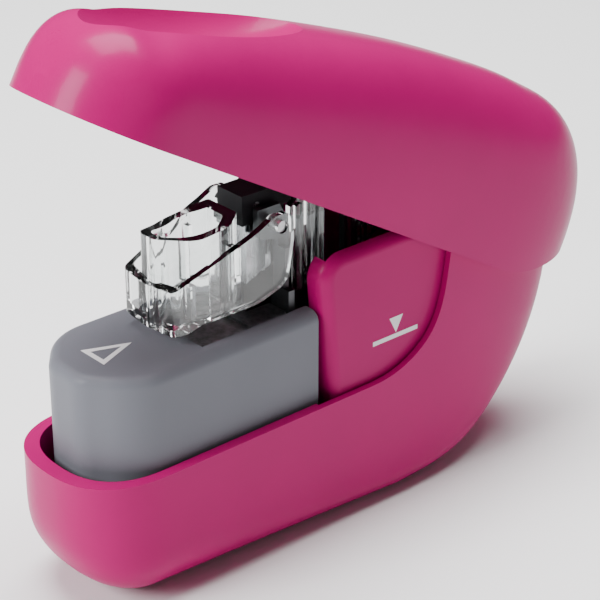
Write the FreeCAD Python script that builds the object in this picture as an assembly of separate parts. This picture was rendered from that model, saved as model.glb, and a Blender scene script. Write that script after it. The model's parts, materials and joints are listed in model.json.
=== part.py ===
import FreeCAD, Part
import math
import os

# Hand-held staple-free stapler: a boat-shaped base with a grey paper table, a clear
# presser with a sight window, a blade carrier that slides down through the table,
# and a long pressing lever hinged near the rear.
# Millimetres. X runs to the rear, Z is up, the origin is the middle of the flat
# resting face. The lever is modelled open, which is where its spring holds it.

V = FreeCAD.Vector

# Base body
BASE_HALF_WIDTH = 13.4
NOSE_X = -51.5
NOSE_LENGTH = 14.5
NOSE_POWER = 2.5
NOSE_ROUND = 15.0
SIDE_ROUND_FRONT = 11.0
SIDE_ROUND_REAR = 6.0
REAR_CENTRE_X = 15.5
REAR_RADIUS = 36.5
TAIL_START_X = 10.0
TAIL_POWER = 4.0
RIM_Z = 24.0
CASING_TOP_Z = 53.2
HULL_TOP_Z = 57.0
CASING_SHOULDER_Z = 48.2
NOSE_WALL = 2.6
SIDE_WALL = 1.75
CASING_WALL = 1.15
FLOOR_Z = 2.4
CASING_CAVITY_X = -6.8
SIDE_STEPS = 7
NOSE_STEPS = 12

# Inner frame (the recessed post)
PANEL_HALF_WIDTH = 12.05
PANEL_WALL = 1.6
PANEL_TOP_Z = 49.0
PANEL_REAR_X = 23.0
PANEL_BOTTOM_Z = 11.5
POST_FRONT_TOP_X = -5.6
POST_FRONT_LOW_X = -3.7
POST_FRONT_THICK = 1.9
POST_SLOT_HALF = 8.0
SHELF_TOP_Z = 30.0
SHELF_THICK = 2.4
SHELF_REAR_X = 18.0

# Paper table and die
TABLE_HALF_WIDTH = 11.2
TABLE_NOSE_X = -47.3
TABLE_REAR_X = -5.9
TABLE_TOP_Z = 40.0
TABLE_BOTTOM_Z = 13.0
TABLE_WALL = 2.0
TABLE_ROOF = 3.2
TABLE_EDGE_ROUND = 1.8
DIE_FRONT_X = -27.0
DIE_REAR_X = -9.6
DIE_HALF_WIDTH = 8.2
DIE_THICK = 1.0
DIE_SLOT_FRONT_X = -14.2
DIE_SLOT_REAR_X = -7.2
DIE_SLOT_HALF = 3.5

# Fold pusher in the table
PUSHER_X = -25.0
PUSHER_Z = 32.0
PUSHER_PIN_RADIUS = 1.2

# Lever
LEVER_TILT = 30.0
PIVOT_X = 37.0
PIVOT_Z = 48.0
LEVER_HALF_WIDTH = 14.8
LEVER_SIDE_WALL = 1.05
LEVER_TOP_WALL = 1.5
LEVER_NOSE_U = -92.8
LEVER_TAIL_U = 24.4
LEVER_EDGE_W = -12.3
PIVOT_PIN_RADIUS = 1.5
ARM_HALF_WIDTH = 8.8
ARM_SHEET = 1.2
ARM_WEB_W = 7.6

# Blade drive
DRIVE_X = 3.0
DRIVE_Z = 60.0
DRIVE_PIN_RADIUS = 1.5
DRIVE_PLAY = 0.42
BLADE_TIP_Z = 44.2
CARRIER_BOTTOM_Z = 54.5
CARRIER_TOP_Z = 63.6
CARRIER_HALF = 3.0
RIVET_Z = 57.2
RIVET_RADIUS = 0.7
GUIDE_INNER = 3.4
GUIDE_SHEET = 1.2
SPRING_X = 13.0
SPRING_RADIUS = 2.4
SPRING_WIRE = 0.7
SPRING_TURNS = 6.5
SPRING_TOP_Z = 50.0

# Presser
PRESSER_PIN_X = -10.5
PRESSER_PIN_Z = 55.0
PRESSER_PIN_RADIUS = 1.0
PRESSER_HALF = 8.0
PRESSER_WALL = 1.2
PRESSER_FRONT_X = -31.6

# Clearances
RUNNING = 0.05


def cyl_y(x, z, radius, y0, y1):
    return Part.makeCylinder(radius, y1 - y0, V(x, y0, z), V(0, 1, 0))


def cyl_z(x, y, radius, z0, z1):
    return Part.makeCylinder(radius, z1 - z0, V(x, y, z0), V(0, 0, 1))


def block(x0, x1, y0, y1, z0, z1):
    return Part.makeBox(x1 - x0, y1 - y0, z1 - z0, V(x0, y0, z0))


def both_sides(make):
    return [make(-1), make(1)]


def side_block(side, x0, x1, near, far, z0, z1):
    low = min(side * near, side * far)
    high = max(side * near, side * far)
    return block(x0, x1, low, high, z0, z1)


def smooth(points, start=None, end=None):
    curve = Part.BSplineCurve()
    if start is None:
        curve.interpolate(Points=points)
    else:
        curve.interpolate(Points=points, InitialTangent=start, FinalTangent=end)
    return curve.toShape()


def xz_prism(edges, half):
    face = Part.Face(Part.Wire(edges))
    face.translate(V(0, -half, 0))
    return face.extrude(V(0, 2 * half, 0))


def xz_polygon(points, half):
    corners = [V(x, 0, z) for x, z in points]
    corners.append(corners[0])
    return xz_prism(Part.makePolygon(corners).Edges, half)


def round_drop(radius, height):
    # how far a quarter-round edge stands in from the wall at this height
    if height >= radius:
        return 0.0
    return radius - math.sqrt(radius ** 2 - (radius - height) ** 2)


def super_arc(start_x, end_x, half, power, z, turn_from, turn_to):
    # points round one end of the boat shape, from one side wall to the other
    points = []
    for i in range(NOSE_STEPS * 2 + 1):
        turn = turn_from + (turn_to - turn_from) * i / (NOSE_STEPS * 2.0)
        across = math.copysign(abs(math.sin(turn)) ** (2 / power), math.sin(turn))
        along = abs(math.cos(turn)) ** (2 / power)
        points.append(V(start_x + (end_x - start_x) * along, half * across, z))
    return points


def hull_wire(z, side_inset, nose_inset, rear_inset):
    # One level of the boat shape: nose curve, two straight sides, tail curve.
    front_half = BASE_HALF_WIDTH - side_inset - round_drop(SIDE_ROUND_FRONT, z)
    rear_half = BASE_HALF_WIDTH - side_inset - round_drop(SIDE_ROUND_REAR, z)
    nose = NOSE_X + nose_inset + round_drop(NOSE_ROUND, z)
    shoulder = NOSE_X + NOSE_LENGTH
    lift = z - REAR_RADIUS
    tail = REAR_CENTRE_X + math.sqrt(max(REAR_RADIUS ** 2 - lift ** 2, 0.0)) - rear_inset
    slope = V(TAIL_START_X - shoulder, rear_half - front_half, 0).normalize()
    forward = V(-slope.x, slope.y, 0)
    quarter = math.pi / 2
    nose_points = super_arc(shoulder, nose, front_half, NOSE_POWER, z, -quarter, quarter)
    tail_points = super_arc(TAIL_START_X, tail, rear_half, TAIL_POWER, z, quarter, -quarter)
    nose_curve = smooth(nose_points, forward, slope)
    tail_curve = smooth(tail_points, slope, forward)
    upper = Part.makeLine(nose_points[-1], tail_points[0])
    lower = Part.makeLine(tail_points[-1], nose_points[0])
    return Part.Wire([nose_curve, upper, tail_curve, lower])


def hull(bottom, top, side_inset=0.0, nose_inset=0.0, rear_inset=0.0):
    levels = [bottom]
    for step in (0.15, 0.6, 1.4, 2.6, 4.2, 6.2, 8.6, 11.5, 15.0, 19.5, 25.0, 31.0, 37.0, 43.0, 50.0):
        if bottom + 0.1 < step < top - 0.5:
            levels.append(step)
    levels.append(top)
    wires = [hull_wire(z, side_inset, nose_inset, rear_inset) for z in levels]
    return Part.makeLoft(wires, True, False)


def base_side_view():
    # What remains of the boat shape seen from the side: rim, swept edge, casing top.
    rim_end = V(4.0, 0, RIM_Z)
    sweep = smooth(
        [rim_end, V(11.7, 0, 25.4), V(16.6, 0, 28.6), V(19.6, 0, 33.8), V(21.2, 0, 42.5), V(21.8, 0, 47.4)],
        V(1, 0, 0), V(0.08, 0, 1))
    corners = [V(21.8, 0, 47.4), V(22.4, 0, CASING_SHOULDER_Z), V(31.0, 0, CASING_SHOULDER_Z + 1.8),
               V(33.5, 0, CASING_TOP_Z), V(60, 0, CASING_TOP_Z), V(60, 0, -5),
               V(-60, 0, -5), V(-60, 0, RIM_Z), rim_end]
    return xz_prism([sweep] + Part.makePolygon(corners).Edges, 30)


def pivot_bore(radius):
    return cyl_y(PIVOT_X, PIVOT_Z, radius, -20, 20)


def base_screw_spots():
    return [(-36.0, 0.0), (-20.0, 0.0), (9.0, 0.0)]


def base_shell():
    body = hull(0.0, HULL_TOP_Z).common(base_side_view())
    front = hull(FLOOR_Z, HULL_TOP_Z + 2, SIDE_WALL, NOSE_WALL, 2.2)
    rear = hull(7.0, HULL_TOP_Z + 2, CASING_WALL, NOSE_WALL, 2.2)
    rear = rear.common(block(CASING_CAVITY_X, 70, -20, 20, 0, 90))
    body = body.cut(front.fuse(rear))
    keep = hull(1.0, HULL_TOP_Z - 2, 0.6, 2.0, 1.0)
    bosses = []
    for side in (-1, 1):
        boss = cyl_y(PIVOT_X, PIVOT_Z, 5.0, min(side * 9.8, side * 14), max(side * 9.8, side * 14))
        bosses.append(boss.common(keep))
    for x, y in base_screw_spots():
        bosses.append(cyl_z(x, y, 3.4, 1.0, 6.0))
    body = body.fuse(bosses)
    body = body.cut(pivot_bore(PIVOT_PIN_RADIUS))
    for x, y in base_screw_spots():
        body = body.cut(cyl_z(x, y, 2.4, -1, 1.8))
        body = body.cut(cyl_z(x, y, 1.1, -1, 7))
    body = body.removeSplitter()
    body.fix(1e-5, 1e-5, 1e-4)
    return body


def post_front_x(z):
    # the post's front face leans forward as it rises
    share = (z - RIM_Z) / (45.0 - RIM_Z)
    return POST_FRONT_LOW_X + (POST_FRONT_TOP_X - POST_FRONT_LOW_X) * share


def inner_frame():
    low = post_front_x(PANEL_BOTTOM_Z)
    high = post_front_x(PANEL_TOP_Z)
    body = xz_polygon([(low, PANEL_BOTTOM_Z), (high, PANEL_TOP_Z), (PANEL_REAR_X, PANEL_TOP_Z),
                       (PANEL_REAR_X, 30.0), (8.0, PANEL_BOTTOM_Z)], PANEL_HALF_WIDTH)
    inside = PANEL_HALF_WIDTH - PANEL_WALL
    body = body.makeFillet(4.5, [e for e in body.Edges
                                 if abs(e.CenterOfMass.x - high) < 0.1 and e.CenterOfMass.z > PANEL_TOP_Z - 0.5
                                 and abs(e.CenterOfMass.y) < 0.1])
    front_edges = [e for e in body.Edges
                   if abs(abs(e.CenterOfMass.y) - PANEL_HALF_WIDTH) < 0.1 and e.CenterOfMass.x < 3
                   and e.CenterOfMass.z > 15]
    front_edges = [e for e in front_edges if e.BoundBox.XLength < 15]
    body = body.makeFillet(2.2, front_edges)
    well = xz_polygon([(low + POST_FRONT_THICK, PANEL_BOTTOM_Z - 1), (high + POST_FRONT_THICK, PANEL_TOP_Z + 1),
                       (PANEL_REAR_X + 1, PANEL_TOP_Z + 1), (PANEL_REAR_X + 1, PANEL_BOTTOM_Z - 1)], inside)
    body = body.cut(well)
    slot = block(-12, 5, -POST_SLOT_HALF, POST_SLOT_HALF, SHELF_TOP_Z - SHELF_THICK, PANEL_TOP_Z + 2)
    body = body.cut(slot)
    shelf_front = post_front_x(SHELF_TOP_Z) + 0.5
    shelf = block(shelf_front, SHELF_REAR_X, -inside - 0.5, inside + 0.5, SHELF_TOP_Z - SHELF_THICK, SHELF_TOP_Z)
    column = cyl_z(9.0, 0, 4.2, 6.0, SHELF_TOP_Z - 0.5)
    body = body.fuse([shelf, column])
    body = body.cut(cyl_z(9.0, 0, 1.1, 5, 14))
    for side in (-1, 1):
        body = body.cut(cyl_z(-1.5, side * 6.0, 0.9, SHELF_TOP_Z - 4, SHELF_TOP_Z + 1))
    return body.removeSplitter()


def rounded(points, radii, z):
    # closed outline through the corner points, each corner turned with its own radius
    edges = []
    count = len(points)
    ends = []
    for i in range(count):
        here = V(points[i][0], points[i][1], z)
        before = V(points[i - 1][0], points[i - 1][1], z)
        after = V(points[(i + 1) % count][0], points[(i + 1) % count][1], z)
        back = (before - here).normalize()
        on = (after - here).normalize()
        if radii[i] <= 0:
            ends.append((here, here, None))
            continue
        half_angle = back.getAngle(on) / 2
        reach = radii[i] / math.tan(half_angle)
        centre = here + (back + on).normalize() * (radii[i] / math.sin(half_angle))
        middle = centre + (here - centre).normalize() * radii[i]
        ends.append((here + back * reach, here + on * reach, middle))
    for i in range(count):
        start, stop, middle = ends[i]
        if middle is not None:
            edges.append(Part.Arc(start, middle, stop).toShape())
        following = ends[(i + 1) % count][0]
        if stop.distanceToPoint(following) > 1e-6:
            edges.append(Part.makeLine(stop, following))
    return Part.Wire(edges)


def slab(points, radii, z0, z1):
    return Part.Face(rounded(points, radii, z0)).extrude(V(0, 0, z1 - z0))


def side_slab(points, radii, half):
    # the same outline drawn in X and Z, extruded across the width
    body = slab(points, radii, -half, half)
    body.rotate(V(0, 0, 0), V(1, 0, 0), 90)
    return body


def table_solid(inset, z0, z1):
    half = TABLE_HALF_WIDTH - inset
    nose = TABLE_NOSE_X + inset
    rear = TABLE_REAR_X
    front = 3.6 - 0.35 * inset
    points = [(rear, -half), (nose + 6.0, -half), (nose, -front), (nose, front), (nose + 6.0, half), (rear, half)]
    near = 10.0 - inset
    far = 5.5 - inset
    return slab(points, [0, near, far, far, near, 0], z0, z1)


def paper_table():
    body = table_solid(0, TABLE_BOTTOM_Z, TABLE_TOP_Z)
    rim = [e for e in body.Edges if e.BoundBox.ZMin > 37 and e.CenterOfMass.x < TABLE_REAR_X - 0.5]
    body = body.makeFillet(TABLE_EDGE_ROUND, rim)
    hollow = table_solid(TABLE_WALL, TABLE_BOTTOM_Z - 1, TABLE_TOP_Z - TABLE_ROOF)
    body = body.cut(hollow.common(block(-60, TABLE_REAR_X - 2.2, -20, 20, 0, 60)))
    for x in (-36.0, -20.0):
        body = body.fuse(cyl_z(x, 0, 3.2, 6.0, TABLE_TOP_Z - 12))
        body = body.fuse(block(x - 0.8, x + 0.8, -9.6, 9.6, TABLE_BOTTOM_Z + 1, TABLE_TOP_Z - 14))
        body = body.cut(cyl_z(x, 0, 1.1, 5, 14))
    for side in (-1, 1):
        ear = side_block(side, PUSHER_X - 3, PUSHER_X + 3, 5.2, 6.8, PUSHER_Z - 3.2, TABLE_TOP_Z - 2)
        body = body.fuse(ear)
    body = body.cut(cyl_y(PUSHER_X, PUSHER_Z, PUSHER_PIN_RADIUS, -6.8, 6.8))
    body = body.cut(block(DIE_FRONT_X, DIE_REAR_X + 0.1, -DIE_HALF_WIDTH, DIE_HALF_WIDTH,
                          TABLE_TOP_Z - DIE_THICK, TABLE_TOP_Z + 1))
    body = body.cut(block(DIE_SLOT_FRONT_X - 0.6, 0, -DIE_SLOT_HALF - 0.6, DIE_SLOT_HALF + 0.6, 20, 45))
    body = body.cut(block(DIE_REAR_X, 0, -POST_SLOT_HALF - 0.1, POST_SLOT_HALF + 0.1, 20, 45))
    return body.removeSplitter()


def die_plate():
    body = block(DIE_FRONT_X, DIE_REAR_X, -DIE_HALF_WIDTH, DIE_HALF_WIDTH, TABLE_TOP_Z - DIE_THICK, TABLE_TOP_Z)
    body = body.makeFillet(1.0, [e for e in body.Edges if e.BoundBox.ZLength > 0.9])
    body = body.cut(block(DIE_SLOT_FRONT_X, 0, -DIE_SLOT_HALF, DIE_SLOT_HALF, 20, 45))
    groove = block(-19.4, -17.2, -DIE_HALF_WIDTH - 1, DIE_HALF_WIDTH + 1, TABLE_TOP_Z - 0.5, TABLE_TOP_Z + 1)
    return body.cut(groove)


def fold_pusher():
    body = cyl_y(PUSHER_X, PUSHER_Z, 2.4, -4.6, 4.6)
    arm = xz_polygon([(PUSHER_X, PUSHER_Z - 1.6), (PUSHER_X, PUSHER_Z + 1.8), (-17.6, 36.2), (-15.4, 36.2),
                      (-15.4, 34.2), (-18.6, 31.6)], 2.8)
    tail = xz_polygon([(PUSHER_X - 6.5, PUSHER_Z - 3.4), (PUSHER_X - 6.5, PUSHER_Z - 1.2),
                       (PUSHER_X, PUSHER_Z + 1.4), (PUSHER_X, PUSHER_Z - 2.0)], 1.6)
    body = body.fuse([arm, tail])
    return body.cut(cyl_y(PUSHER_X, PUSHER_Z, PUSHER_PIN_RADIUS + RUNNING, -9, 9)).removeSplitter()


def pusher_pin():
    return cyl_y(PUSHER_X, PUSHER_Z, PUSHER_PIN_RADIUS, -6.8, 6.8)


def screw(head_radius, head_height, shank_radius, length):
    # pan-head screw standing on its head, shank up, cross recess from below
    head = cyl_z(0, 0, head_radius, 0, head_height)
    head = head.makeFillet(head_height * 0.35, [e for e in head.Edges if e.CenterOfMass.z < 0.01])
    body = head.fuse(cyl_z(0, 0, shank_radius, head_height - 0.1, head_height + length))
    arm = head_radius * 0.62
    body = body.cut(block(-arm, arm, -0.3, 0.3, -1, head_height * 0.5))
    return body.cut(block(-0.3, 0.3, -arm, arm, -1, head_height * 0.5))


def base_screws():
    made = []
    for x, y in base_screw_spots():
        one = screw(2.2, 1.3, 1.05, 11.0)
        one.translate(V(x, y, 0.45))
        made.append(one)
    return Part.makeCompound(made)


def blade_guide():
    # folded steel channel: two cheeks, a floor, and wide front pillars
    cheek_out = GUIDE_INNER + GUIDE_SHEET
    cheek = [(-9.1, 31.7), (-9.1, 51.6), (-12.7, 52.6), (-12.7, 57.2), (-8.2, 57.2), (-6.5, 54.0), (8.0, 54.0),
             (8.0, 31.7)]
    pieces = []
    for side in (-1, 1):
        plate = xz_polygon(cheek, 20)
        plate = plate.common(side_block(side, -20, 20, GUIDE_INNER, cheek_out, 0, 90))
        pieces.append(plate)
        pieces.append(side_block(side, -9.1, -7.9, GUIDE_INNER, 6.3, 31.7, 50.5))
        pieces.append(side_block(side, -9.1, -7.9, GUIDE_INNER, 7.7, 31.7, 43.3))
    pieces.append(block(-6.5, 8.0, -cheek_out, cheek_out, 31.7, 32.9))
    body = pieces[0].fuse(pieces[1:])
    body = body.cut(drive_slot(20))
    body = body.cut(cyl_y(PRESSER_PIN_X, PRESSER_PIN_Z, PRESSER_PIN_RADIUS, -20, 20))
    return body.removeSplitter()


def drive_slot(half):
    # the way the drive pin comes down through the fixed cheeks, open at the top
    low = DRIVE_Z - 16.2
    slot = block(DRIVE_X - 4.2, DRIVE_X + 2.4, -half, half, low, 90)
    return slot


def blade_housing():
    # clear ribbed cover over the blade guide
    body = xz_polygon([(-7.3, 30.1), (-7.3, 56.8), (-5.6, 58.4), (4.0, 57.0), (8.4, 54.5), (8.4, 30.1)], 6.2)
    body = body.cut(block(-20, 20, -5.0, 5.0, 31.5, 90))
    ribs = []
    for side in (-1, 1):
        for i in range(7):
            x = -6.4 + i * 2.3
            rib = side_block(side, x - 0.55, x + 0.55, 5.8, 7.2, 42.8, 57.4)
            ribs.append(rib)
    outline = xz_polygon([(-7.3, 42.8), (-7.3, 56.8), (-5.6, 58.4), (4.0, 57.0), (8.4, 54.5), (8.4, 42.8)], 20)
    for rib in ribs:
        body = body.fuse(rib.common(outline))
    body = body.cut(drive_slot(20))
    return body.removeSplitter()


def presser_pins():
    made = []
    for side in (-1, 1):
        low = min(side * GUIDE_INNER, side * (PRESSER_HALF - 0.35))
        high = max(side * GUIDE_INNER, side * (PRESSER_HALF - 0.35))
        made.append(cyl_y(PRESSER_PIN_X, PRESSER_PIN_Z, PRESSER_PIN_RADIUS, low, high))
    return Part.makeCompound(made)


def prow(inset, z0, z1):
    # plan of the presser skirt: blunt bow widening to the pin
    half = PRESSER_HALF - inset
    front = PRESSER_FRONT_X + inset
    bow = 6.3 - inset * 0.7
    rear = -8.2
    points = [(rear, -half), (-17.0, -half), (front + 0.9, -bow), (front, 0), (front + 0.9, bow), (-17.0, half),
              (rear, half)]
    return slab(points, [0, 14.0, 1.2, 12.0, 1.2, 14.0, 0], z0, z1)


def ring_plan(inset, z0, z1):
    # plan of the sight window ring: a long pointed loop
    half = 5.0 - inset
    tip = -30.6 + inset
    rear = -15.9 - inset
    points = [(rear, -half + 1.5), (rear - 2.5, -half), (tip + 6.5, -half), (tip, -half * 0.42),
              (tip, half * 0.42), (tip + 6.5, half), (rear - 2.5, half), (rear, half - 1.5)]
    return slab(points, [0.8, 0.8, 6.0, 1.6, 1.6, 6.0, 0.8, 0.8], z0, z1)


def presser_window():
    side_view = side_slab(
        [(-33.5, 42.0), (-28.2, 42.0), (-26.0, 42.8), (-15.0, 43.6), (-9.6, 45.2), (-8.3, 52.0), (-8.3, 57.2),
         (-12.0, 57.2), (-14.6, 55.9), (-31.0, 49.3), (-33.5, 49.0)],
        [0, 1.0, 2.0, 8.0, 3.0, 1.0, 2.0, 1.5, 2.0, 3.0, 0], 20)
    skirt = prow(0, 40, 60).common(side_view)
    skirt = skirt.cut(prow(PRESSER_WALL, 43.6, 70))
    inner_half = PRESSER_HALF - PRESSER_WALL
    skirt = skirt.cut(block(-24.0, -5, -inner_half + 0.4, inner_half - 0.4, 30, 70))
    ring_view = side_slab([(-33.0, 42.4), (-11.0, 42.4), (-11.0, 59.4), (-19.0, 56.4), (-25.0, 55.8),
                           (-30.0, 56.8), (-33.0, 56.8)], [0, 0, 0, 12.0, 12.0, 2.0, 0], 20)
    ring = ring_plan(0, 40, 62).common(ring_view)
    webs = []
    for side in (-1, 1):
        webs.append(side_block(side, -19.4, -18.2, 4.2, PRESSER_HALF - 0.5, 44.2, 53.6))
        webs.append(side_block(side, -27.2, -26.2, 3.6, 5.6, 43.0, 49.4))
    body = skirt.fuse([ring] + webs)
    body = body.cut(ring_plan(1.5, 30, 70))
    body = body.cut(cyl_y(PRESSER_PIN_X, PRESSER_PIN_Z, PRESSER_PIN_RADIUS + RUNNING, -20, 20))
    return body.removeSplitter()


def carrier_core():
    front = block(-14.5, -6.0, -CARRIER_HALF, CARRIER_HALF, CARRIER_BOTTOM_Z, 59.5)
    spine = xz_polygon([(-9.0, 56.0), (-9.0, 59.5), (-3.5, CARRIER_TOP_Z), (7.5, CARRIER_TOP_Z), (9.4, 60.0),
                        (9.4, 54.0), (16.0, SPRING_TOP_Z + 3), (16.0, SPRING_TOP_Z + 0.02),
                        (7.2, SPRING_TOP_Z + 0.02), (5.4, 56.0)], CARRIER_HALF)
    return front.fuse(spine)


def blade_carrier():
    body = carrier_core()
    slot_low = DRIVE_Z - DRIVE_PIN_RADIUS - DRIVE_PLAY - 0.05
    slot_high = DRIVE_Z + DRIVE_PIN_RADIUS + DRIVE_PLAY - 0.05
    body = body.cut(block(DRIVE_X - 3.9, DRIVE_X + 2.0, -20, 20, slot_low, slot_high))
    body = body.cut(tongue_blade())
    body = body.cut(slit_blade())
    for rivet in blade_rivets():
        body = body.cut(rivet)
    body = body.cut(cyl_z(SPRING_X, 0, 0.9, SPRING_TOP_Z + 1.6, SPRING_TOP_Z + 4))
    return body.removeSplitter()


def tongue_blade():
    # three-sided punch with a slanted cutting edge
    body = block(-13.6, -10.0, -2.6, 2.6, BLADE_TIP_Z, 58.8)
    body = body.cut(block(-12.8, 0, -1.9, 1.9, 0, 90))
    wedge = xz_polygon([(-14, 43), (-9.5, 43), (-9.5, BLADE_TIP_Z + 2.6), (-14, BLADE_TIP_Z)], 20)
    body = body.cut(wedge)
    body = body.cut(blade_rivets()[0])
    return body.removeSplitter()


def slit_blade():
    body = block(-8.6, -8.0, -2.2, 2.2, BLADE_TIP_Z, 58.8)
    point = Part.makePolygon([V(-9, -3, 43), V(-9, -2.2, BLADE_TIP_Z + 2), V(-9, 0, BLADE_TIP_Z),
                              V(-9, 2.2, BLADE_TIP_Z + 2), V(-9, 3, 43), V(-9, -3, 43)])
    body = body.cut(Part.Face(point).extrude(V(3, 0, 0)))
    window = block(-10, -7, -1.3, 1.3, BLADE_TIP_Z + 3.4, BLADE_TIP_Z + 4.8)
    body = body.cut(blade_rivets()[1])
    return body.cut(window)


def blade_rivets():
    across = cyl_y(-11.6, RIVET_Z, RIVET_RADIUS, -CARRIER_HALF, CARRIER_HALF)
    along = Part.makeCylinder(RIVET_RADIUS, 4.4, V(-10.4, 0, RIVET_Z), V(1, 0, 0))
    return [across, along]


def return_spring():
    height = SPRING_TOP_Z - SHELF_TOP_Z
    wire_end = SPRING_WIRE
    helix = Part.makeHelix((height - wire_end) / SPRING_TURNS, height - wire_end, SPRING_RADIUS)
    start = Part.Wire(Part.makeCircle(SPRING_WIRE / 2, V(SPRING_RADIUS, 0, 0), V(0, 1, 0)))
    coil = Part.Wire(helix).makePipeShell([start], True, True)
    coil.translate(V(SPRING_X, 0, SHELF_TOP_Z + SPRING_WIRE / 2))
    return coil


def to_open(shape):
    # from lever axes (pivot at the origin, lower edge level) to the open position
    shape.rotate(V(0, 0, 0), V(0, 1, 0), LEVER_TILT)
    shape.translate(V(PIVOT_X, 0, PIVOT_Z))
    return shape


def curve_height(points, u):
    # smooth height read off a row of points by Catmull-Rom interpolation
    if u <= points[0][0]:
        return points[0][1]
    for i in range(len(points) - 1):
        if u <= points[i + 1][0]:
            break
    p1 = points[i]
    p2 = points[i + 1]
    p0 = points[max(i - 1, 0)]
    p3 = points[min(i + 2, len(points) - 1)]
    span = p2[0] - p1[0]
    t = (u - p1[0]) / span
    m1 = (p2[1] - p0[1]) / max(p2[0] - p0[0], 1e-6) * span
    m2 = (p3[1] - p1[1]) / max(p3[0] - p1[0], 1e-6) * span
    a = 2 * t ** 3 - 3 * t ** 2 + 1
    b = t ** 3 - 2 * t ** 2 + t
    c = -2 * t ** 3 + 3 * t ** 2
    d = t ** 3 - t ** 2
    return a * p1[1] + b * m1 + c * p2[1] + d * m2


def lever_half(u):
    if u < -78.0:
        share = min((-78.0 - u) / (-78.0 - LEVER_NOSE_U), 1.0)
        return LEVER_HALF_WIDTH * (1 - share ** 2.15) ** (1 / 2.15)
    if u > -4.0:
        share = min((u + 4.0) / (LEVER_TAIL_U + 4.0), 1.0)
        return LEVER_HALF_WIDTH * (1 - share ** 3.0) ** (1 / 3.0)
    return LEVER_HALF_WIDTH


def lever_top(u):
    if u < -84.0:
        share = (-84.0 - u) / (-84.0 - LEVER_NOSE_U)
        return -10.0 + 12.4 * math.sqrt(max(1 - share ** 2, 0.0))
    if u > 4.0:
        share = (u - 4.0) / (LEVER_TAIL_U - 4.0)
        return -4.0 + 22.0 * math.sqrt(max(1 - share ** 2.2, 0.0))
    return curve_height(LEVER_CROWN, u)


LEVER_CROWN = [(-84.0, 2.4), (-76.0, 5.2), (-67.0, 7.8), (-56.0, 10.5), (-44.0, 13.0), (-30.0, 15.5),
               (-15.0, 17.3), (-4.0, 18.1), (4.0, 18.0)]


def lever_section(u, half, top, power, floor):
    spring = -11.0
    points = []
    for i in range(21):
        turn = math.pi * i / 20.0
        across = math.copysign(abs(math.cos(turn)) ** (2 / power), math.cos(turn))
        points.append(V(u, -half * across, spring + (top - spring) * math.sin(turn) ** (2 / power)))
    crown = smooth(points, V(0, 0, 1), V(0, 0, -1))
    low_left = V(u, -half, floor)
    low_right = V(u, half, floor)
    return Part.Wire([crown, Part.makeLine(points[-1], low_right), Part.makeLine(low_right, low_left),
                      Part.makeLine(low_left, points[0])])


def lever_form(side_inset, top_inset, nose_inset, tail_inset, floor):
    # the lever's outer form, or the same form drawn in by a wall thickness
    stations = []
    for i in range(7):
        stations.append(LEVER_NOSE_U + 16.0 * (1 - math.cos(math.pi / 2 * (i + 0.35) / 7.35)))
    for u in (-76.0, -70.0, -62.0, -52.0, -40.0, -26.0, -12.0, -4.0):
        stations.append(u)
    for i in range(8):
        stations.append(-4.0 + (LEVER_TAIL_U + 4.0) * math.sin(math.pi / 2 * (i + 1) / 8.35))
    middle = -30.0
    wires = []
    for u in stations:
        if u < middle:
            place = middle + (u - middle) * (LEVER_NOSE_U + nose_inset - middle) / (LEVER_NOSE_U - middle)
        else:
            place = middle + (u - middle) * (LEVER_TAIL_U - tail_inset - middle) / (LEVER_TAIL_U - middle)
        half = lever_half(u)
        half = half * (LEVER_HALF_WIDTH - side_inset) / LEVER_HALF_WIDTH
        wires.append(lever_section(place, half, lever_top(u) - top_inset, 2.9, floor))
    return Part.makeLoft(wires, True, False)


def lever_edge_cut():
    # everything under the lever's lower edge: level, then sweeping up round the tail
    edge = Part.makePolygon([V(-110, 0, LEVER_EDGE_W), V(1.0, 0, LEVER_EDGE_W)]).Edges
    sweep = smooth([V(1.0, 0, LEVER_EDGE_W), V(8.0, 0, -11.3), V(13.5, 0, -9.2), V(19.0, 0, -6.4), V(30.0, 0, -0.6)],
                   V(1, 0, 0), V(1, 0, 0.55))
    rest = Part.makePolygon([V(30, 0, -0.6), V(30, 0, -40), V(-110, 0, -40), V(-110, 0, LEVER_EDGE_W)]).Edges
    return xz_prism(edge + [sweep] + rest, 30)


def thumb_scoop(grow):
    ball = Part.makeSphere(10.0)
    matrix = FreeCAD.Matrix()
    matrix.scale(2.45 + grow / 10.0, 0.95 + grow / 10.0, 0.95 + grow / 10.0)
    ball = ball.transformGeometry(matrix)
    ball.rotate(V(0, 0, 0), V(0, 1, 0), -15.5)
    ball.translate(V(-72.0, -0.3, 10.9))
    return ball


def arm_screw_spots():
    return [-34.0, -16.0]


def lever_cover():
    body = lever_form(0, 0, 0, 0, -16.0)
    hollow = lever_form(LEVER_SIDE_WALL, LEVER_TOP_WALL, 1.7, 1.6, -17.0)
    hollow = hollow.cut(thumb_scoop(1.3))
    body = body.cut(hollow)
    inner_parts = []
    for u in arm_screw_spots():
        boss = cyl_z(u, 0, 2.8, ARM_WEB_W + ARM_SHEET + 0.02, 25.0)
        inner_parts.append(boss.common(lever_form(0.5, 0.7, 0.8, 0.8, -17.0)))
    for u in (-80.0, -47.0):
        rib = block(u - 0.6, u + 0.6, -13.9, 13.9, -8.0, 12.0).cut(block(u - 1, u + 1, -11.5, 11.5, -9, 0.0))
        rib = rib.cut(thumb_scoop(0.6))
        inner_parts.append(rib.common(lever_form(0.5, 0.8, 0.8, 0.8, -17.0)))
    body = body.fuse(inner_parts)
    body = body.cut(lever_edge_cut())
    body = body.cut(thumb_scoop(0))
    for u in arm_screw_spots():
        body = body.cut(cyl_z(u, 0, 1.05, 0, 13.6))
    return to_open(body)


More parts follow.
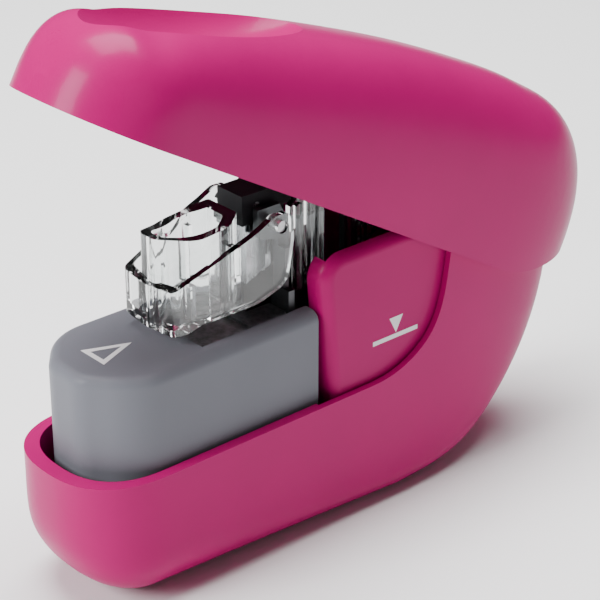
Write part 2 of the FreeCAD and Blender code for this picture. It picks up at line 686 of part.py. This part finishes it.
def drive_in_lever():
    # the drive pin's place in lever axes
    tilt = math.radians(LEVER_TILT)
    dx = DRIVE_X - PIVOT_X
    dz = DRIVE_Z - PIVOT_Z
    return math.cos(tilt) * dx - math.sin(tilt) * dz, math.sin(tilt) * dx + math.cos(tilt) * dz


def lever_arm():
    # folded steel channel: two cheeks and a web under the cover
    u, w = drive_in_lever()
    plate = side_slab([(3.7, -3.7), (3.7, 2.6), (-8.0, ARM_WEB_W + ARM_SHEET), (-40.0, ARM_WEB_W + ARM_SHEET),
                       (u - 3.4, w - 3.2), (u + 3.4, w - 3.2), (-20.0, -3.0), (-4.0, -3.7)],
                      [3.6, 3.0, 6.0, 2.0, 3.0, 3.0, 8.0, 5.0], ARM_HALF_WIDTH)
    inner = ARM_HALF_WIDTH - ARM_SHEET
    plate = plate.cut(block(-60, 20, -inner, inner, -20, ARM_WEB_W))
    plate = plate.cut(block(-7.0, 20, -inner, inner, -20, 30))
    plate = plate.cut(cyl_y(0, 0, PIVOT_PIN_RADIUS + RUNNING, -20, 20))
    plate = plate.cut(cyl_y(u, w, DRIVE_PIN_RADIUS, -20, 20))
    for spot in arm_screw_spots():
        plate = plate.cut(cyl_z(spot, 0, 1.3, 0, 20))
    return to_open(plate.removeSplitter())


def drive_pin():
    return cyl_y(DRIVE_X, DRIVE_Z, DRIVE_PIN_RADIUS, -ARM_HALF_WIDTH - 0.6, ARM_HALF_WIDTH + 0.6)


def lever_pin():
    pin = cyl_y(PIVOT_X, PIVOT_Z, PIVOT_PIN_RADIUS, -11.9, 11.9)
    return pin.makeChamfer(0.3, [e for e in pin.Edges if abs(abs(e.CenterOfMass.y) - 11.9) < 0.01])


def pivot_sleeve():
    inner = ARM_HALF_WIDTH - ARM_SHEET - 0.02
    sleeve = cyl_y(PIVOT_X, PIVOT_Z, 3.0, -inner, inner)
    return sleeve.cut(pivot_bore(PIVOT_PIN_RADIUS + RUNNING))


def arm_screws():
    made = []
    for u in arm_screw_spots():
        one = screw(2.4, 1.4, 1.04, 4.6)
        one.translate(V(u, 0, ARM_WEB_W - 1.42))
        made.append(to_open(one))
    return Part.makeCompound(made)


def blade_rivet_set():
    return Part.makeCompound(blade_rivets())


PIECES = {
    "base_shell": base_shell,
    "inner_frame": inner_frame,
    "paper_table": paper_table,
    "die_plate": die_plate,
    "base_screws": base_screws,
    "fold_pusher": fold_pusher,
    "pusher_pin": pusher_pin,
    "blade_guide": blade_guide,
    "blade_housing": blade_housing,
    "presser_pins": presser_pins,
    "presser_window": presser_window,
    "blade_carrier": blade_carrier,
    "tongue_blade": tongue_blade,
    "slit_blade": slit_blade,
    "blade_rivets": blade_rivet_set,
    "return_spring": return_spring,
    "lever_cover": lever_cover,
    "lever_arm": lever_arm,
    "drive_pin": drive_pin,
    "lever_pin": lever_pin,
    "pivot_sleeve": pivot_sleeve,
    "arm_screws": arm_screws,
}

os.makedirs("parts", exist_ok=True)
for name, make in PIECES.items():
    make().exportStep("parts/" + name + ".step")
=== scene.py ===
import json
import math
import bpy
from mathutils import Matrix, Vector


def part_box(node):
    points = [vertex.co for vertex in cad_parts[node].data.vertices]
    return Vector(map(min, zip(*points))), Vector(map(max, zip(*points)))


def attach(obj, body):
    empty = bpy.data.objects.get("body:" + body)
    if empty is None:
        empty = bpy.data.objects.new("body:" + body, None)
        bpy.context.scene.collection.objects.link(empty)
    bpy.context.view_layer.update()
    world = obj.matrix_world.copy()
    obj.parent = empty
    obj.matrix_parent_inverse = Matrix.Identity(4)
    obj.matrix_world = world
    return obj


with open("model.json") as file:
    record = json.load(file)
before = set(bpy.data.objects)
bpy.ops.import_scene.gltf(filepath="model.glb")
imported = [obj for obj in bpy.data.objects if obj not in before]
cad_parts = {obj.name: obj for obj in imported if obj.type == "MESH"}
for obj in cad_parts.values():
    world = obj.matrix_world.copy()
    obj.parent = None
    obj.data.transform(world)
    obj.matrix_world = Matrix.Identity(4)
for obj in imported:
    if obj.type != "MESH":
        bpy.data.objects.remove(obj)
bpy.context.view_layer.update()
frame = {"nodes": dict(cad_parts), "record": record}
nodes = frame["nodes"]
MM = 0.001

FINE_GRAIN = 0.00002
COARSE_GRAIN = 0.00003
COAT_ROUGHNESS = 0.12
PLASTIC_SPECULAR = 0.1
ACRYLIC_IOR = 1.49

INK_GAP = 0.01
INK_THICKNESS = 0.04
ARROW_TIP_X = -34.2
ARROW_BASE_X = -41.6
ARROW_HALF_WIDTH = 3.0
ARROW_STROKE = 0.85

FLOOR_SIZE = 6.0
FLOOR_COLOR = (0.93, 0.93, 0.93, 1.0)
WORLD_STRENGTH = 0.08
CAMERA_AZIMUTH = -41.2
CAMERA_ELEVATION = 26.6
CAMERA_TARGET = (0.0, 0.0, 0.036)
CAMERA_DISTANCE = 0.3276
CAMERA_LENS = 120.0

# ---------------------------------------------------------------- materials


def new_material(name):
    mat = bpy.data.materials.new(name)
    mat.use_nodes = True
    tree = mat.node_tree
    shader = tree.nodes["Principled BSDF"]
    return mat, tree, shader


def noise(tree, scale, detail=4.0, rough=0.5, stretch=(1, 1, 1)):
    coords = tree.nodes.new("ShaderNodeTexCoord")
    mapping = tree.nodes.new("ShaderNodeMapping")
    mapping.inputs["Scale"].default_value = stretch
    tex = tree.nodes.new("ShaderNodeTexNoise")
    tex.inputs["Scale"].default_value = scale
    tex.inputs["Detail"].default_value = detail
    tex.inputs["Roughness"].default_value = rough
    tree.links.new(coords.outputs["Object"], mapping.inputs["Vector"])
    tree.links.new(mapping.outputs["Vector"], tex.inputs["Vector"])
    return tex


def ramp(tree, source, low, high, start=0.3, stop=0.7):
    node = tree.nodes.new("ShaderNodeValToRGB")
    node.color_ramp.elements[0].position = start
    node.color_ramp.elements[1].position = stop
    node.color_ramp.elements[0].color = low
    node.color_ramp.elements[1].color = high
    tree.links.new(source, node.inputs["Fac"])
    return node


def span(tree, source, low, high):
    node = tree.nodes.new("ShaderNodeMapRange")
    node.inputs["From Min"].default_value = 0.25
    node.inputs["From Max"].default_value = 0.75
    node.inputs["To Min"].default_value = low
    node.inputs["To Max"].default_value = high
    tree.links.new(source, node.inputs["Value"])
    return node


def bump(tree, shader, source, distance, strength):
    node = tree.nodes.new("ShaderNodeBump")
    node.inputs["Distance"].default_value = distance
    node.inputs["Strength"].default_value = strength
    tree.links.new(source, node.inputs["Height"])
    tree.links.new(node.outputs["Normal"], shader.inputs["Normal"])


def shade(color, factor):
    return (color[0] * factor, color[1] * factor, color[2] * factor, 1.0)


def plastic(name, color, rough, coat, variation=0.04, grain=FINE_GRAIN):
    mat, tree, shader = new_material(name)
    broad = noise(tree, 60.0, 3.0)
    tint = ramp(tree, broad.outputs["Fac"], shade(color, 1 - variation), shade(color, 1 + variation))
    tree.links.new(tint.outputs["Color"], shader.inputs["Base Color"])
    fine = noise(tree, 2600.0, 2.0)
    wear = noise(tree, 240.0, 5.0, 0.65)
    level = span(tree, wear.outputs["Fac"], rough * 0.9, rough * 1.12)
    tree.links.new(level.outputs["Result"], shader.inputs["Roughness"])
    shader.inputs["Coat Weight"].default_value = coat
    shader.inputs["Coat Roughness"].default_value = COAT_ROUGHNESS
    shader.inputs["Specular IOR Level"].default_value = PLASTIC_SPECULAR
    bump(tree, shader, fine.outputs["Fac"], grain, 0.35)
    return mat


def steel(name, color, rough, stretch=(1, 1, 1), speckle=0.0):
    mat, tree, shader = new_material(name)
    streak = noise(tree, 900.0, 4.0, 0.6, stretch)
    tint = ramp(tree, streak.outputs["Fac"], shade(color, 1 - 0.18 - speckle), shade(color, 1.1 + speckle))
    tree.links.new(tint.outputs["Color"], shader.inputs["Base Color"])
    level = span(tree, streak.outputs["Fac"], rough * 0.75, rough * 1.25)
    tree.links.new(level.outputs["Result"], shader.inputs["Roughness"])
    shader.inputs["Metallic"].default_value = 1.0
    bump(tree, shader, streak.outputs["Fac"], FINE_GRAIN, 0.3)
    return mat


def clear(name):
    mat, tree, shader = new_material(name)
    broad = noise(tree, 180.0, 3.0)
    tint = ramp(tree, broad.outputs["Fac"], (0.90, 0.925, 0.925, 1.0), (0.97, 0.985, 0.98, 1.0))
    tree.links.new(tint.outputs["Color"], shader.inputs["Base Color"])
    level = span(tree, broad.outputs["Fac"], 0.02, 0.06)
    tree.links.new(level.outputs["Result"], shader.inputs["Roughness"])
    shader.inputs["Transmission Weight"].default_value = 1.0
    shader.inputs["IOR"].default_value = ACRYLIC_IOR
    bump(tree, shader, broad.outputs["Fac"], 0.0002, 0.15)
    return mat


PINK = (0.40, 0.0, 0.12)
materials = {
    "pink_shell": plastic("pink_shell", PINK, 0.34, 0.05),
    "pink_frame": plastic("pink_frame", shade(PINK, 0.96)[:3], 0.36, 0.04),
    "pink_lever": plastic("pink_lever", PINK, 0.30, 0.08),
    "grey_table": plastic("grey_table", (0.16, 0.165, 0.19), 0.42, 0.04, 0.03, COARSE_GRAIN),
    "black_plastic": plastic("black_plastic", (0.012, 0.012, 0.014), 0.5, 0.0, 0.15, COARSE_GRAIN),
    "die_steel": steel("die_steel", (0.22, 0.22, 0.23), 0.42, (1, 1, 1), 0.3),
    "dark_steel": steel("dark_steel", (0.09, 0.095, 0.10), 0.38, (1, 1, 6)),
    "blade_steel": steel("blade_steel", (0.50, 0.51, 0.53), 0.25, (1, 1, 0.1)),
    "pin_steel": steel("pin_steel", (0.42, 0.42, 0.43), 0.28, (1, 8, 1)),
    "spring_steel": steel("spring_steel", (0.40, 0.40, 0.42), 0.3),
    "screw_steel": steel("screw_steel", (0.50, 0.50, 0.50), 0.3),
    "clear_plastic": clear("clear_plastic"),
    "print_white": plastic("print_white", (0.80, 0.80, 0.81), 0.5, 0.0, 0.02),
}

for part in frame["record"]["subparts"]:
    node = nodes[part["node"]]
    node.data.materials.clear()
    node.data.materials.append(materials[part["material_slot"]])

# ---------------------------------------------------------------- printed marks


def flat_mark(name, corners, faces, lift, body):
    # a thin printed mark: the outline's faces, and their copies raised by the ink's thickness
    count = len(corners)
    verts = [Vector(c) for c in corners] + [Vector(c) + Vector(lift) for c in corners]
    polys = []
    for face in faces:
        polys.append(tuple(reversed(face)))
        polys.append(tuple(i + count for i in face))
        for i in range(len(face)):
            a = face[i]
            b = face[(i + 1) % len(face)]
            polys.append((a, b, b + count, a + count))
    mesh = bpy.data.meshes.new(name)
    mesh.from_pydata([v * MM for v in verts], [], polys)
    mesh.update()
    obj = bpy.data.objects.new(name, mesh)
    bpy.context.scene.collection.objects.link(obj)
    mesh.materials.append(materials["print_white"])
    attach(obj, body)


def triangle(apex, base_x, half, z, stroke):
    outer = [(base_x, -half, z), (apex, 0, z), (base_x, half, z)]
    inner = [(base_x + stroke, -half + stroke * 1.55, z), (apex - stroke * 2.3, 0, z),
             (base_x + stroke, half - stroke * 1.55, z)]
    return outer + inner


table_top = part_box("paper_table")[1][2] / MM
mark = triangle(ARROW_TIP_X, ARROW_BASE_X, ARROW_HALF_WIDTH, table_top + INK_GAP, ARROW_STROKE)
arrow_faces = [(0, 1, 4, 3), (1, 2, 5, 4), (2, 0, 3, 5)]
flat_mark("table_arrow", mark, arrow_faces, (0, 0, INK_THICKNESS), "base")

panel_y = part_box("inner_frame")[0][1] / MM - INK_GAP
bar = [(5.2, panel_y, 30.3), (15.2, panel_y, 30.3), (15.2, panel_y, 31.1), (5.2, panel_y, 31.1)]
flat_mark("depth_line", bar, [(0, 1, 2, 3)], (0, -INK_THICKNESS, 0), "base")
tip = [(10.3, panel_y, 31.3), (11.8, panel_y, 34.2), (8.8, panel_y, 34.2)]
flat_mark("depth_tip", tip, [(0, 1, 2)], (0, -INK_THICKNESS, 0), "base")

# ---------------------------------------------------------------- stage, light, camera


def studio_plane(name, size, location, color):
    mesh = bpy.data.meshes.new(name)
    half = size / 2
    corners = [(-half, -half, 0), (half, -half, 0), (half, half, 0), (-half, half, 0)]
    mesh.from_pydata(corners, [], [(0, 1, 2, 3)])
    obj = bpy.data.objects.new(name, mesh)
    obj.location = location
    bpy.context.scene.collection.objects.link(obj)
    mat, tree, shader = new_material(name)
    shader.inputs["Base Color"].default_value = color
    shader.inputs["Roughness"].default_value = 0.9
    mesh.materials.append(mat)


studio_plane("floor", FLOOR_SIZE, (0, 0, 0), FLOOR_COLOR)


def area_light(name, place, aim, size, power):
    data = bpy.data.lights.new(name, "AREA")
    data.shape = "RECTANGLE"
    data.size = size[0]
    data.size_y = size[1]
    data.energy = power
    obj = bpy.data.objects.new(name, data)
    obj.location = place
    direction = Vector(aim) - Vector(place)
    obj.rotation_euler = direction.to_track_quat("-Z", "Y").to_euler()
    bpy.context.scene.collection.objects.link(obj)


CENTRE = (0.0, 0.0, 0.04)
area_light("key", (-0.62, 0.10, 0.42), CENTRE, (0.30, 0.35), 6.0)
area_light("top", (0.05, 0.10, 0.75), CENTRE, (0.6, 0.5), 13.5)
area_light("fill", (-0.15, -0.75, 0.30), CENTRE, (0.5, 0.4), 0.25)

world = bpy.data.worlds.new("studio")
world.use_nodes = True
world.node_tree.nodes["Background"].inputs["Color"].default_value = (1.0, 1.0, 1.0, 1.0)
world.node_tree.nodes["Background"].inputs["Strength"].default_value = WORLD_STRENGTH
bpy.context.scene.world = world

azimuth = math.radians(CAMERA_AZIMUTH)
elevation = math.radians(CAMERA_ELEVATION)
target = Vector(CAMERA_TARGET)
back = Vector((math.sin(azimuth) * math.cos(elevation), -math.cos(azimuth) * math.cos(elevation),
               math.sin(elevation)))
camera_data = bpy.data.cameras.new("camera")
camera_data.lens = CAMERA_LENS
camera_data.sensor_width = 36.0
camera = bpy.data.objects.new("camera", camera_data)
camera.location = target + back * CAMERA_DISTANCE
camera.rotation_euler = back.to_track_quat("Z", "Y").to_euler()
bpy.context.scene.collection.objects.link(camera)
bpy.context.scene.camera = camera
